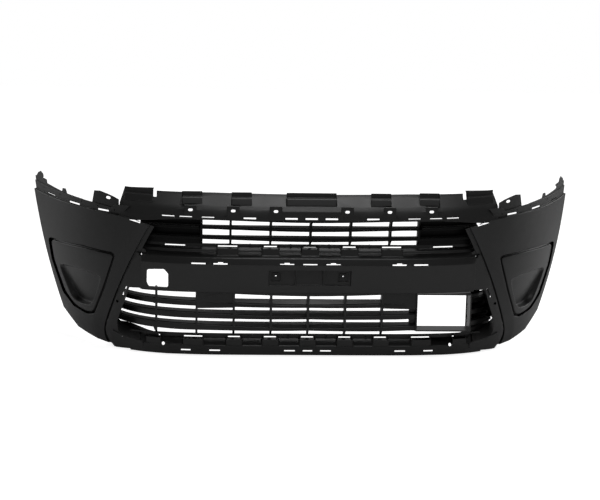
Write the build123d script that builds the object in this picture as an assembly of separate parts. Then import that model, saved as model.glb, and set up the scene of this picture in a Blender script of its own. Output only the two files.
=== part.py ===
from build123d import *
from math import cos, hypot, pi
import os

# Front bumper cover: one outer moulding with header and wings, a middle panel, two grilles, two fog
# blanks, headlamp brackets, wing retainers, number plate nuts and the fasteners that hold them.
# Millimetres. x runs to the right as seen from in front, y runs rearwards and z runs up.
# Everything is laid out from the crease of the middle bar, and place_origin moves it at the end.

# Overall form, at the base, crease and step heights
base_z = -300
step_z = 150
base_half_width = 763
crease_half_width = 861
step_half_width = 896
base_reach = 367
crease_reach = 448
step_reach = 522
base_fullness = 5.3
crease_fullness = 4.5
step_fullness = 4.1
base_front = 50
crease_front = 4
step_front = -30

# Walls and clearances
wall = 3.0
thin_wall = 2.5
seat_gap = 0.3
edge_gap = 0.8
seam_groove = 5
wing_levels = 11

# Wing
arch_flange = 18
seam_base = 664
seam_crease = 560
seam_step = 482
tuck_z = -246
tuck = 40
lap_width = 16
lap_joint = 8
lap_wall = 2.5
lap_gap = 3.7
fold = 4
fold_width = 30
step_depth = 7
step_ledge = 3
step_line = [(480, 112), (500, 118), (540, 131), (590, 139), (646, 143), (960, 144)]
flange_top = [(960, 172), (850, 168), (763, 168), (678, 165), (618, 160), (604, 172), (560, 172)]
wing_foot = [(860, -200), (789, -229), (736, -275), (668, -290), (599, -298), (560, -299)]
flange_slots = [(644, 34), (740, 36), (826, 34)]
flange_slot_z = 146.5
slot_height = 5
tip_slot = [(523, 121), (560, 129), (560, 134), (523, 126)]

# Header
header_end = 592
header_low_z = 120
header_lip_z = 144
header_hole_z = 172.5
header_shoulder_z = 186
header_slope_z = 212
header_crest_z = 228
header_low_y = -23
header_hole_y = -16
header_shoulder_y = -6
header_slope_y = 22
header_crest_y = 32
header_outline = [
    (0, 218), (300, 221), (470, 219), (484, 219), (486, 227), (577, 222), (592, 178), (600, 130), (540, 130),
    (470, 138), (400, header_lip_z), (0, header_lip_z),
]
mount_rows = [110, 241, 372]
mount_slot_length = 14
mount_slot_width = 9
boss_width = 38
boss_height = 32
boss_proud = 2
pad_rows = [215, 367]
pad_width = 62
end_tab = [489, 577]
end_slot_x = 482
end_slot_width = 10
end_slot_low = 202
end_slot_high = 224
middle_pad_width = 154
pad_top_z = 226
pad_face_y = 12
pad_step_z = 210
pad_step = 12
pad_foot_z = 190
header_slots = [0, 62, 190, 318, 386, 440]
header_slot_z = 150.5
header_slot_length = 38

# Middle panel
column_top = 30
ledge_z = 47.5
ledge_y = 45
upstand = 9.5
shoulder_z = 41
shoulder_y = 31
groove_z = 33
groove_y = 29
brow_z = 28
brow_y = 15
nose_z = 20
nose_y = 6
crease_z = 2.5
bar_low_z = -95
bar_low_y = 28
bar_return = 22
bar_end = 524
crease_slots = [(0, 44), (72, 44), (278, 44), (346, 44)]
crease_humps = [72, 278]
hump_width = 16
hump_height = 3
ledge_slots = [(0, 38), (123, 40), (256, 60), (425, 74)]
ledge_pads = [(0, 54), (123, 54), (256, 66)]
lip_ledge_z = -254
lip_ledge_y = 90
lip_crease_z = -272
lip_crease_y = 57
lip_face_z = -288
lip_face_y = 55
lip_low_z = -302
lip_low_y = 52
lip_return = 25
lip_end = 560
lip_upstand = 12
lip_slots = [(0, 38), (118, 38), (232, 38), (361, 58), (486, 40)]
lip_pads = [(0, 52), (118, 52), (232, 52), (361, 64), (486, 46)]
face_slots = [(0, 30), (57, 34), (293, 34), (384, 30)]
column_edge = [
    (500, 20), (519, 20), (519, -90), (562, -93), (578, -143), (591, -178), (602, -214), (600, -240),
    (586, -262),
]
corner_holes = [(526.5, 21), (601, -145), (455, -272)]
corner_hole = 9
side_slot = [(567, -91), (572, -91), (584, -121), (579, -121)]
shelf_start = 530
shelf_end = 618
shelf_front_z = -264
shelf_front_rise = 18
shelf_rise = 26
shelf_back = 8

# Number plate pocket and towing eye hole in the middle bar
pocket_half = 128
pocket_top = -17
pocket_foot = -68
pocket_floor_y = 26
plate_pitch = 210
plate_z = -41
nut_recess = 31
nut_recess_depth = 5
nut_hole = 16
nut_flange = 22
nut_bore = 6.5
rib_x = 43
tow_outline = [(-506, -25), (-453, -21), (-440, -36), (-440, -84), (-500, -84), (-507, -70)]
tow_radius = 8
tow_wall = 14

# Grilles
slat_nose_height = 7
slat_nose_depth = 6
slat_groove = 3
slat_skin = 3
bar_width = 7
upper_front = 10
upper_noses = [103.5, 71.5]
upper_pitch = 124
upper_open_half = 334
upper_end = 528
upper_depth = 30
upper_rise = 15
upper_bow = 6
upper_rail_z = 137
rail_front = -19
lower_front = 60
lower_noses = [-150, -187, -224]
lower_pitch = 117
lower_depth = 35
lower_rise = 22
lower_bow = 12
lower_ends = [583, 596, 604]
lower_wrap = 95
lower_rail_z = -110
lower_side = [(564, -92), (580, -143), (593, -178), (604, -208)]
blank_low_z = -146
sensor_left = 345
sensor_right = 512
sensor_top = -105
sensor_foot = -219
sensor_wall = 4
sensor_column = 24
screw_rows = [60, 186]

# Fog blanks
fog_outline = [
    (603, 16), (715, 19), (840, 4), (829, -66), (790, -168), (750, -204), (700, -214), (677, -204), (640, -106),
]
fog_radius = 13
fog_depth = 10
fog_seat = 7
scoop_outline = [(654, -70), (756, -70), (807, -82), (775, -158), (742, -186), (700, -188), (684, -168)]
scoop_radius = 10
scoop_depth = 16
fog_clip_rows = [(650, 12), (760, 10), (648, -118), (735, -200)]

# Headlamp brackets, wing retainers and their fasteners
bracket_outline = [(594, 149), (594, 188), (612, 195), (630, 200), (655, 205), (675, 202), (684, 150)]
bracket_hole_x = 628
bracket_hole_z = 188
bracket_hole_length = 14
bracket_hole_width = 9
bracket_screws = [(612, 152), (668, 156)]
retainer_outline = [
    (712, 152), (712, 166), (768, 168), (773, 182), (785, 181), (787, 170), (843, 176), (845, 186),
    (856, 184), (860, 188), (858, 192), (860, 200), (870, 206), (882, 196), (888, 184), (905, 178), (905, 152),
]
retainer_eye = (868, 194)
retainer_eye_radius = 3.5
retainer_screws = [(722, 159), (800, 160), (862, 160)]
retainer_hook = 16
screw_radius = 2.1
screw_hole_radius = 2.4
screw_head_radius = 5
screw_head = 2.4
screw_length = 11
flange_screw_length = 6
screw_height = 5
clip_width = 16
clip_height = 14
clip_wall = 2
seam_clip_rows = [84, 20, -50, -110, -170, -225]


# Quadratic through a value at the base, the crease and the step line
def through(z, low, mid, high):
    at_low = z * (z - step_z) / (base_z * (base_z - step_z))
    at_mid = (z - base_z) * (z - step_z) / (-base_z * -step_z)
    at_high = z * (z - base_z) / (step_z * (step_z - base_z))
    return low * at_low + mid * at_mid + high * at_high


def half_width(z):
    return through(z, base_half_width, crease_half_width, step_half_width)


def wing_front(z):
    return through(z, base_front, crease_front, step_front)


def seam_x(z):
    tucked = max(0, (tuck_z - z) / (tuck_z - base_z)) ** 1.5
    return through(z, seam_base, seam_crease, seam_step) - tuck * tucked


# Depth of the bowed form at one place, from its depth in the middle of the car
def bow(x, z, front):
    share = (abs(x) / half_width(z)) ** through(z, base_fullness, crease_fullness, step_fullness)
    return front + (through(z, base_reach, crease_reach, step_reach) - front) * share


def wing_slope(x, z):
    return bow(x + 0.5, z, wing_front(z)) - bow(x - 0.5, z, wing_front(z))


# Point at a depth below the outer surface of the wings, measured square to it in plan
def inset_point(x, z, inset):
    slope = wing_slope(x, z)
    length = hypot(1, slope)
    return Vector(x - inset * slope / length, bow(x, z, wing_front(z)) + inset / length, z)


def plan_curve(z, inner, outer, inset):
    steps = 6
    places = [inner + (outer - inner) * i / steps for i in range(steps + 1)]
    return Spline(*[inset_point(x, z, inset) for x in places])


def join(points):
    return [Line(a, b) for a, b in zip(points, points[1:])]


# Shell between two depths below the outer surface, right side only
def skin(near, far, low, high, inner):
    faces = []
    levels = 4
    for i in range(levels + 1):
        z = low + (high - low) * i / levels
        outer = half_width(z)
        skin_near = plan_curve(z, inner, outer, near)
        skin_far = plan_curve(z, inner, outer, far)
        ends = [Line(skin_near @ 0, skin_far @ 0), Line(skin_near @ 1, skin_far @ 1)]
        faces.append(make_face([skin_near, skin_far] + ends))
    return loft(faces)


# Outline in the front view, run along y
def prism(points, near=-100, far=700, radius=0, grow=0):
    if radius:
        outline = FilletPolyline(*points, radius=radius, close=True)
    else:
        outline = Polyline(*points, close=True)
    face = make_face(outline)
    if grow:
        face = offset(face, amount=grow)
    return Pos(0, far, 0) * Rot(90, 0, 0) * extrude(face, far - near)


# Outline in the side view, run along x
def side_prism(points, left, right):
    face = make_face(Polyline(*[(left, y, z) for y, z in points], close=True))
    return extrude(face, right - left, dir=(1, 0, 0))


def block(x, y, z, width, depth, height):
    return Pos(x, y, z) * Box(width, depth, height)


def both_sides(right):
    return right + mirror(right, about=Plane.YZ)


# Line of points thickened to one side, its corners mitred
def thicken_line(points, thickness):
    normals = []
    for (ay, az), (by, bz) in zip(points, points[1:]):
        length = hypot(by - ay, bz - az)
        normals.append(((az - bz) / length, (by - ay) / length))
    far_side = []
    for i, (y, z) in enumerate(points):
        ny, nz = normals[max(i - 1, 0)]
        my, mz = normals[min(i, len(normals) - 1)]
        scale = thickness / (1 + ny * my + nz * mz)
        far_side.append((y + (ny + my) * scale, z + (nz + mz) * scale))
    return points + far_side[::-1]


# Section in the side view that follows the bowed form along x
def rail(section, start, end, steps=6):
    faces = []
    for i in range(steps + 1):
        x = start + (end - start) * i / steps
        faces.append(make_face(Polyline(*[(x, y, z) for y, z in section(x)], close=True)))
    return loft(faces)


# Round bar square to the outer surface, between two depths below it
def pin(x, z, radius, near, far):
    lean = bow(x, z + 0.5, wing_front(z + 0.5)) - bow(x, z - 0.5, wing_front(z - 0.5))
    inwards = Vector(-wing_slope(x, z), 1, -lean)
    return Plane(origin=inset_point(x, z, near), z_dir=inwards) * extrude(Circle(radius), far - near)


def screw(x, z, seat):
    head_near = seat + seat_gap
    shank = pin(x, z, screw_radius, head_near - flange_screw_length, head_near + 1)
    return shank + pin(x, z, screw_head_radius, head_near, head_near + screw_head)


# Front of the rail of a grille, which seats behind an upstand of the middle panel
def seat_y(x, z, upstand_y):
    return bow(x, z, upstand_y) + wall + 2 * seat_gap


def seat_rail(low, high, upstand_y, end):
    def section(x):
        near = seat_y(x, high, upstand_y)
        return [(near, low), (near + wall, low), (near + wall, high), (near, high)]

    return rail(section, 0, end)


def screw_lugs(low, high, upstand_y):
    lugs = []
    for x in screw_rows:
        near = seat_y(x, high, upstand_y)
        lugs.append(block(x, near + wall / 2, (low + high) / 2, 14, wall, high - low))
    return lugs


# Screws driven forwards through the rail and the upstand, their heads behind the rail
def rear_screws(upstand_y, z):
    screws = []
    for x in screw_rows:
        back = seat_y(x, z, upstand_y) + wall + seat_gap / 2
        shank = Pos(x, back - screw_length, z) * Rot(-90, 0, 0) * extrude(Circle(screw_radius), screw_length)
        head = Pos(x, back, z) * Rot(-90, 0, 0) * extrude(Circle(screw_head_radius), screw_head)
        screws += [shank + head, mirror(shank + head, about=Plane.YZ)]
    return screws


def rear_holes(upstand_y, z):
    hole = Rot(-90, 0, 0) * extrude(Circle(screw_hole_radius), 2 * screw_length)
    return [Pos(side * x, upstand_y - screw_length, z) * hole for x in screw_rows for side in (-1, 1)]


# Heights of the wing's sections; the panel's edge follows the same ones
def wing_heights():
    low = base_z - 4
    return [low + (step_z - low) * i / wing_levels for i in range(wing_levels + 1)]


def wing_section(z):
    seam = seam_x(z)
    edge = half_width(z)
    edge_wall = wall / hypot(1, wing_slope(edge, z))
    crest = seam + fold_width
    outside = plan_curve(z, crest, edge, 0)
    inside = plan_curve(z, crest, edge - edge_wall, wall)
    joint_depth = wall + fold * (1 - lap_joint / fold_width)
    lap_near = fold + wall + lap_gap
    lap_far = lap_near + lap_wall
    arch = [
        outside @ 1,
        inset_point(edge, z, arch_flange),
        inset_point(edge - edge_wall, z, arch_flange),
        inside @ 1,
    ]
    lap = [
        inside @ 0,
        inset_point(seam + lap_joint, z, joint_depth),
        inset_point(seam + lap_joint, z, lap_far),
        inset_point(seam - lap_width, z, lap_far),
        inset_point(seam - lap_width, z, lap_near),
        inset_point(seam, z, lap_near),
        inset_point(seam, z, fold),
        outside @ 0,
    ]
    return make_face([outside, inside] + join(arch) + join(lap))


def step_band(height):
    return prism(step_line + [(x, z - height) for x, z in step_line[::-1]])


def fog_ring(grow_out, grow_in):
    return prism(fog_outline, radius=fog_radius, grow=grow_out) - prism(
        fog_outline, radius=fog_radius, grow=grow_in
    )


def make_wing():
    wing = loft([wing_section(z) for z in wing_heights()])
    wing &= prism([(440, -310)] + wing_foot[::-1] + [(960, -200)] + step_line[::-1] + [(440, 112)])
    ledge = skin(1, step_depth + wall - 1, 100, 160, 530) & step_band(step_ledge)
    flange = skin(step_depth, step_depth + wall, 130, 180, 555) & prism(
        [(x, z - step_ledge + 1) for x, z in step_line[3:]] + flange_top
    )
    seat_far = fog_depth + thin_wall + seat_gap + thin_wall
    recess = skin(1, seat_far, -240, 40, 585) & fog_ring(thin_wall, 0)
    seat = skin(seat_far - thin_wall, seat_far, -240, 40, 585) & fog_ring(thin_wall / 2, -fog_seat)
    wing -= prism(fog_outline, radius=fog_radius)
    cuts = [prism(tip_slot)]
    for x, length in flange_slots:
        spot = bow(x, flange_slot_z, wing_front(flange_slot_z))
        cuts.append(block(x, spot + 20, flange_slot_z, length, 60, slot_height))
    for x, z in bracket_screws + retainer_screws:
        cuts.append(pin(x, z, screw_hole_radius, step_depth - 5, step_depth + 2 * wall))
    return wing + [ledge, flange, recess, seat] - cuts


def header_line():
    return [
        (header_low_y, header_low_z),
        (header_hole_y, header_hole_z),
        (header_shoulder_y, header_shoulder_z),
        (header_slope_y, header_slope_z),
        (header_crest_y, header_crest_z),
    ]


def pad_section(x):
    shift = bow(x, header_shoulder_z, header_shoulder_y) - header_shoulder_y
    points = [
        (pad_face_y + wall, pad_top_z),
        (pad_face_y, pad_top_z),
        (pad_face_y, pad_step_z),
        (pad_face_y - pad_step, pad_step_z - 0.5),
        (header_shoulder_y, pad_foot_z),
        (header_shoulder_y + 2, header_shoulder_z),
        (header_shoulder_y + 6, header_shoulder_z + 3),
        (pad_face_y + wall, pad_step_z - 7),
    ]
    return [(y + shift, z) for y, z in points]


def boss_face_y(x):
    return bow(x, header_hole_z, header_hole_y) - boss_proud


def make_header():
    header = rail(lambda x: follow_bow(thicken_line(header_line(), -wall), x), 0, header_end)
    header &= prism(header_outline)
    raised = [side_prism(pad_section(0), 0, middle_pad_width / 2)]
    raised.append(rail(pad_section, end_tab[0], end_tab[1], 3))
    for x in pad_rows:
        raised.append(side_prism(pad_section(x), x - pad_width / 2, x + pad_width / 2))
    for x in mount_rows:
        depth = boss_proud + wall + 2
        raised.append(block(x, boss_face_y(x) + depth / 2, header_hole_z, boss_width, depth, boss_height))
    return header + raised


def make_bumper_cover():
    cover = both_sides(make_header() + make_wing())
    cuts = []
    for side in (-1, 1):
        for x in mount_rows:
            slot = SlotOverall(mount_slot_length, mount_slot_width)
            place = Pos(side * x, 30, header_hole_z) * Rot(90, 0, 0)
            cuts.append(place * extrude(slot, 80))
        end_height = end_slot_high - end_slot_low
        end_z = (end_slot_high + end_slot_low) / 2
        end_y = bow(end_slot_x, header_slope_z, header_slope_y)
        cuts.append(block(side * end_slot_x, end_y, end_z, end_slot_width, 80, end_height))
        for x in header_slots:
            if x or side > 0:
                spot = bow(x, header_slot_z, header_hole_y)
                cuts.append(block(side * x, spot, header_slot_z, header_slot_length, 40, slot_height))
    return cover - cuts


def bar_line():
    return [
        (ledge_y, ledge_z + upstand),
        (ledge_y, ledge_z),
        (shoulder_y, shoulder_z),
        (groove_y, groove_z),
        (brow_y, brow_z),
        (nose_y, nose_z),
        (0, 0),
        (bar_low_y, bar_low_z),
        (bar_low_y + bar_return, bar_low_z - 2),
    ]


def lip_line():
    return [
        (lip_ledge_y, lip_ledge_z + lip_upstand),
        (lip_ledge_y, lip_ledge_z),
        (lip_crease_y, lip_crease_z),
        (lip_face_y, lip_face_z),
        (lip_low_y, lip_low_z),
        (lip_low_y + lip_return, lip_low_z + 1),
    ]


def follow_bow(points, x):
    return [(bow(x, z, y), z) for y, z in points]


# Open-topped pockets for clips, standing on the slope in front of a ledge, right half only.
# The slope runs from the ledge down to where the front wall of the pocket stands.
def clip_pockets(slope, pads):
    back_y, back_z = slope[0]
    front_y, front_z = slope[-1]
    front = front_y - seat_gap
    body = [(back_y + 1, back_z), (front + 1, back_z + 1), (front, front_z - 1)]
    body += [(y + 1, z - 2) for y, z in slope[::-1]]
    hollow = [(back_y - wall, back_z + 20), (front + wall, back_z + 20)]
    hollow += [(max(y, front + wall), z + 0.6) for y, z in slope[:0:-1]] + [(back_y - wall, back_z - 0.4)]
    bodies, hollows = [], []
    for x, width in pads:
        start = x - width / 2 if x else 0
        end = x + width / 2
        bodies.append(rail(lambda place: follow_bow(body, place), start, end, 2))
        inner_start = start + wall if x else 0
        hollows.append(rail(lambda place: follow_bow(hollow, place), inner_start, end - wall, 2))
    return bodies, hollows


# Sloping floor of the lower opening's outer corner, from the lip's crease up to the lowest slat
def corner_shelf():
    def section(x):
        share = (x - shelf_start) / (shelf_end - shelf_start)
        front_z = shelf_front_z + shelf_front_rise * share ** 1.5
        front_y = bow(x, front_z, wing_front(front_z)) + 1
        back_y = lower_nose_y(x) + shelf_back
        back_z = lip_ledge_z + lip_upstand + shelf_rise * share**2
        top = [(front_y, front_z), (back_y, back_z)]
        return top + [(back_y, back_z - thin_wall), (front_y, front_z - 2 * thin_wall)]

    return rail(section, shelf_start, shelf_end, 6)


def make_plate_pocket():
    def bar_face(z):
        return bar_low_y * z / bar_low_z

    top = pocket_top + wall
    foot = pocket_foot - wall
    floor_back = pocket_floor_y + wall
    shape = [(bar_face(top) + 1, top), (floor_back, top), (floor_back, foot), (bar_face(foot) + 1, foot)]
    half = pocket_half + wall
    pocket = side_prism(shape, -half, half)
    height = pocket_top - pocket_foot
    middle = (pocket_top + pocket_foot) / 2
    cut = block(0, pocket_floor_y - 40, middle, 2 * pocket_half, 80, height)
    ribs = []
    for side in (-1, 1):
        rib = [(bar_face(pocket_top) + 5, pocket_top), (floor_back, pocket_top), (floor_back, pocket_foot)]
        rib.append((bar_face(pocket_foot) + 3, pocket_foot))
        ribs.append(side_prism(rib, side * rib_x - wall / 2, side * rib_x + wall / 2))
    cups, holes = [], []
    cup = nut_recess + 2 * thin_wall
    cup_depth = nut_recess_depth + wall - 1
    cup_y = pocket_floor_y + 1 + cup_depth / 2
    recess_y = pocket_floor_y + nut_recess_depth - 10
    for side in (-1, 1):
        x = side * plate_pitch / 2
        cups.append(block(x, cup_y, plate_z, cup, cup_depth, cup))
        holes.append(block(x, recess_y, plate_z, nut_recess, 20, nut_recess))
        holes.append(block(x, floor_back + nut_recess_depth, plate_z, nut_hole, 20, nut_hole))
    return pocket, cut, ribs + cups, holes


def make_centre_panel():
    bar = rail(lambda x: follow_bow(thicken_line(bar_line(), wall), x), 0, bar_end)
    lip = rail(lambda x: follow_bow(thicken_line(lip_line(), wall), x), 0, lip_end)
    column = skin(fold, fold + wall, -305, column_top, 490)
    seam_edge = [(seam_x(z) - seam_groove, z) for z in wing_heights() if z < column_top]
    foot = [(560, -299), (520, -301), (520, -268), (560, -262)]
    column &= prism(seam_edge + column_edge + foot[::-1])
    ledge_slope = [(ledge_y, ledge_z), (shoulder_y, shoulder_z), (groove_y, groove_z), (brow_y, brow_z)]
    ledge_pockets, ledge_hollows = clip_pockets(ledge_slope, ledge_pads)
    lip_slope = [(lip_ledge_y, lip_ledge_z), (lip_crease_y, lip_crease_z)]
    lip_pockets, lip_hollows = clip_pockets(lip_slope, lip_pads)
    half = bar + [lip, column, corner_shelf()] + ledge_pockets + lip_pockets
    panel = both_sides(half - (ledge_hollows + lip_hollows))
    pocket, pocket_cut, ribs, nut_holes = make_plate_pocket()
    tow_ring = prism(tow_outline, radius=tow_radius, grow=thin_wall)
    tow_tube = mirror(skin(1, tow_wall, -120, 20, 400), about=Plane.YZ) & tow_ring
    panel = panel + [pocket, tow_tube] - pocket_cut + ribs
    cuts = nut_holes + [prism(tow_outline, radius=tow_radius)]
    rows = [(crease_slots, crease_z, nose_y), (ledge_slots, ledge_z + 2.2, ledge_y)]
    rows += [(lip_slots, lip_ledge_z + 2.2, lip_ledge_y), (face_slots, lip_face_z, lip_face_y)]
    for places, z, y in rows:
        for x, length in places:
            spot = bow(x, z, y)
            cuts += [block(side * x, spot, z, length, 16, slot_height - 1) for side in (-1, 1)]
    for x in crease_humps:
        spot = bow(x, crease_z, nose_y)
        z = crease_z + hump_height
        cuts += [block(side * x, spot, z, hump_width, 16, slot_height - 1) for side in (-1, 1)]
    for x, z in corner_holes:
        spot = bow(x, z, wing_front(z))
        hole = Rot(90, 0, 0) * extrude(Circle(corner_hole / 2), 40)
        cuts += [Pos(side * x, spot + 30, z) * hole for side in (-1, 1)]
    for side in (-1, 1):
        cuts.append(prism([(side * x, z) for x, z in side_slot]))
    cuts += rear_holes(ledge_y, ledge_z + screw_height) + rear_holes(lip_ledge_y, lip_ledge_z + screw_height)
    return panel - cuts


# Slat section: a front nose, a groove behind it and a skin that climbs to the rear edge
def slat_line(nose_y, nose_z, depth, rise):
    groove_y = nose_y + slat_nose_depth
    body_y = groove_y + slat_groove
    return [
        (nose_y, nose_z + 1),
        (nose_y + 1, nose_z + slat_nose_height),
        (groove_y, nose_z + slat_nose_height + 1),
        (groove_y, nose_z + 3),
        (body_y, nose_z + 3),
        (body_y, nose_z + slat_nose_height + 3),
        (nose_y + depth, nose_z + rise),
        (nose_y + depth, nose_z + rise - slat_skin),
        (body_y + slat_skin, nose_z + slat_nose_height + 3 - slat_skin),
        (body_y + slat_skin, nose_z),
        (nose_y + 1, nose_z),
    ]


def upper_nose_y(x):
    return bow(x, 100, upper_front)


# Rise of a slat nose from the middle of the car to a place beyond which it stays level
def ease(x, end):
    return (1 - cos(pi * min(1, abs(x) / end))) / 2


def upper_lift(x):
    return upper_bow * ease(x, upper_open_half)


def upper_slat(nose_z):
    def section(x):
        lift = upper_lift(x)
        return slat_line(upper_nose_y(x), nose_z + lift, upper_depth, upper_rise - lift)

    return rail(section, 0, upper_end)


def upper_bar(x):
    shift = upper_nose_y(x) - upper_front
    lift = upper_lift(x)
    nose = upper_front + 2
    back = upper_front + upper_depth + 4
    foot = seat_y(x, ledge_z + upstand, ledge_y) - shift
    shape = [
        (upper_front - 22, upper_rail_z + lift + 3),
        (upper_front - 2, upper_rail_z + lift + 3),
        (back, upper_noses[0] + upper_rise + 2),
        (foot + wall, upper_noses[1] + upper_rise),
        (foot + wall, ledge_z + 5),
        (foot, ledge_z + 5),
        (foot, ledge_z + upstand),
        (nose + 14, ledge_z + upstand + 10),
        (nose, upper_noses[1] + 4),
        (nose, upper_noses[0] + 4),
        (upper_front - 22, upper_rail_z + lift + 1),
    ]
    shape = [(y + shift, z) for y, z in shape]
    return side_prism(shape, x - bar_width / 2, x + bar_width / 2)


def make_upper_grille():
    def top_rail(x):
        near = bow(x, header_lip_z, rail_front) + wall + seat_gap
        low = upper_rail_z + upper_lift(x)
        high = header_lip_z + 2.5
        upright = [(near, low), (near, high), (near + 3, high)]
        return upright + [(near + 3, low + 3), (near + 24, low + 3), (near + 24, low)]

    def baffle(x):
        near = upper_nose_y(x) + upper_depth - 2
        low = ledge_z + upstand + seat_gap
        return [(near, low), (near + wall, low), (near + wall, upper_rail_z + 3), (near, upper_rail_z + 3)]

    foot_top = ledge_z + upstand
    pieces = [seat_rail(ledge_z + 5, foot_top, ledge_y, 440), rail(baffle, upper_open_half, upper_end, 3)]
    pieces += [upper_slat(nose_z) for nose_z in upper_noses]
    pieces += [upper_bar(x) for x in (upper_pitch, 2 * upper_pitch, upper_open_half + bar_width / 2)]
    pieces += screw_lugs(ledge_z, foot_top, ledge_y)
    half = rail(top_rail, 0, 440) + pieces
    grille = half + [mirror(half, about=Plane.YZ), upper_bar(0)]
    return grille - rear_holes(ledge_y, ledge_z + screw_height)


def lower_nose_y(x):
    return lower_front + lower_wrap * (abs(x) / 562) ** 6


def lower_lift(x):
    return lower_bow * ease(x, 4 * lower_pitch)


def lower_slat(nose_z, start, end, steps):
    def section(x):
        lift = lower_lift(x)
        return slat_line(lower_nose_y(x), nose_z + lift, lower_depth, lower_rise - lift / 2)

    return rail(section, start, end, steps)


def lower_bar(x):
    shift = lower_nose_y(x) - lower_front
    lift = lower_lift(x)
    edge = abs(x) + bar_width
    foot = seat_y(edge, lip_ledge_z + lip_upstand, lip_ledge_y) - shift
    head = bow(edge, bar_low_z, bar_low_y + bar_return) + 2 * seat_gap - shift
    shape = [
        (head, lower_rail_z + lift + 8),
        (lower_front + 10, lower_rail_z + lift + 8),
        (lower_front + lower_depth + 4, lower_noses[0] + lower_rise + 4),
        (foot + 6, lower_noses[2] + lower_rise),
        (foot + 6, lip_ledge_z + 7),
        (foot, lip_ledge_z + 7),
        (foot, lip_ledge_z + lip_upstand),
        (lower_front + 14, lip_ledge_z + lip_upstand + 14),
        (lower_front + 2, lower_noses[2] + lift + 4),
        (lower_front + 2, lower_noses[0] + lift + 4),
        (head, lower_rail_z + lift + 2),
    ]
    shape = [(y + shift, z) for y, z in shape]
    return side_prism(shape, x - bar_width / 2, x + bar_width / 2)


def lower_frame():
    def top_rail(x):
        near = bow(x, bar_low_z, bar_low_y + bar_return) + seat_gap
        low = lower_rail_z + lower_lift(x)
        high = bar_low_z + 8
        return [(near, low), (near, high), (near + wall, high), (near + wall, low)]

    foot_top = lip_ledge_z + lip_upstand
    pieces = [rail(top_rail, 0, 530), seat_rail(lip_ledge_z + 7, foot_top, lip_ledge_y, 530)]
    pieces += screw_lugs(lip_ledge_z, foot_top, lip_ledge_y)
    end_wall = prism(lower_side + [(x + wall, z) for x, z in lower_side[::-1]])
    pieces.append(skin(fold + wall + seat_gap, 90, -250, -80, 540) & end_wall - prism(side_slot))
    return pieces


def make_lower_grille():
    pieces = []
    for piece in lower_frame():
        pieces += [piece, mirror(piece, about=Plane.YZ)]
    for nose_z, end in zip(lower_noses, lower_ends):
        pieces.append(mirror(lower_slat(nose_z, 0, end, 7), about=Plane.YZ))
        pieces.append(lower_slat(nose_z, 0, sensor_left - sensor_wall, 4))
        pieces.append(lower_slat(nose_z, sensor_right, end, 3))
    pieces += [lower_bar(x) for x in (0, lower_pitch, 2 * lower_pitch)]
    bars = (lower_pitch, 2 * lower_pitch, 3 * lower_pitch, 478)
    pieces += [mirror(lower_bar(x), about=Plane.YZ) for x in bars]
    near = lower_front + 4
    for left, right in ((-3 * lower_pitch, -2 * lower_pitch), (2 * lower_pitch, sensor_left - sensor_wall)):
        height = bar_low_z - blank_low_z
        z = blank_low_z + height / 2
        pieces.append(block((left + right) / 2, near + wall / 2, z, right - left, wall, height))
    near = lower_front - 4
    depth = lower_depth + 24
    tall = sensor_top - sensor_foot
    middle = (sensor_left + sensor_right) / 2
    wide = sensor_right - sensor_left + 2 * sensor_wall
    level = sensor_foot + tall / 2
    pieces.append(block(middle, near + depth / 2, level, wide, depth, tall + 2 * sensor_wall))
    pieces.append(block(sensor_left - sensor_column / 2, near + 30, level, sensor_column, wall, tall))
    window = block(middle, near, sensor_foot + tall / 2, wide - 2 * sensor_wall, 300, tall)
    return pieces[0] + pieces[1:] - ([window] + rear_holes(lip_ledge_y, lip_ledge_z + screw_height))


def make_fog_blank():
    low = -240
    high = 40
    face = skin(fog_depth, fog_depth + thin_wall, low, high, 585)
    panel = face & prism(fog_outline, radius=fog_radius, grow=-edge_gap)
    scoop = prism(scoop_outline, radius=scoop_radius)
    scoop_ring = prism(scoop_outline, radius=scoop_radius, grow=thin_wall) - scoop
    floor = fog_depth + scoop_depth
    scoop_floor = skin(floor, floor + thin_wall, low, high, 585)
    scoop_floor &= prism(scoop_outline, radius=scoop_radius, grow=thin_wall / 2)
    scoop_wall = skin(fog_depth + 1, floor + 1, low, high, 585) & scoop_ring
    return panel - scoop + [scoop_wall, scoop_floor]


def clip_band(near, places):
    clips = []
    band = skin(near, near + clip_wall, -250, 110, 470)
    for x, z in places:
        half_w = clip_width / 2
        half_h = clip_height / 2
        corners = [(x - half_w, z - half_h), (x + half_w, z - half_h)]
        corners += [(x + half_w, z + half_h), (x - half_w, z + half_h)]
        clips.append(band & prism(corners))
    return clips


def make_bracket():
    near = step_depth + wall + seat_gap
    bracket = skin(near, near + thin_wall, 140, 215, 560) & prism(bracket_outline)
    slot = SlotOverall(bracket_hole_length, bracket_hole_width)
    bracket -= Pos(bracket_hole_x, 300, bracket_hole_z) * Rot(90, 0, 0) * extrude(slot, 400)
    for x, z in bracket_screws:
        bracket -= pin(x, z, screw_hole_radius, near - 3, near + thin_wall + 3)
    return bracket


def make_retainer():
    near = step_depth + wall + seat_gap
    retainer = skin(near, near + thin_wall, 145, 220, 690) & prism(retainer_outline)
    hook = skin(near + 1, near + retainer_hook, 160, 220, 690)
    hook &= prism([(850, 175), (850, 180), (896, 180), (896, 175)])
    eye_x, eye_z = retainer_eye
    retainer += hook
    retainer -= pin(eye_x, eye_z, retainer_eye_radius, near - 3, near + thin_wall + 3)
    for x, z in retainer_screws:
        retainer -= pin(x, z, screw_hole_radius, near - 3, near + thin_wall + 3)
    return retainer


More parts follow.
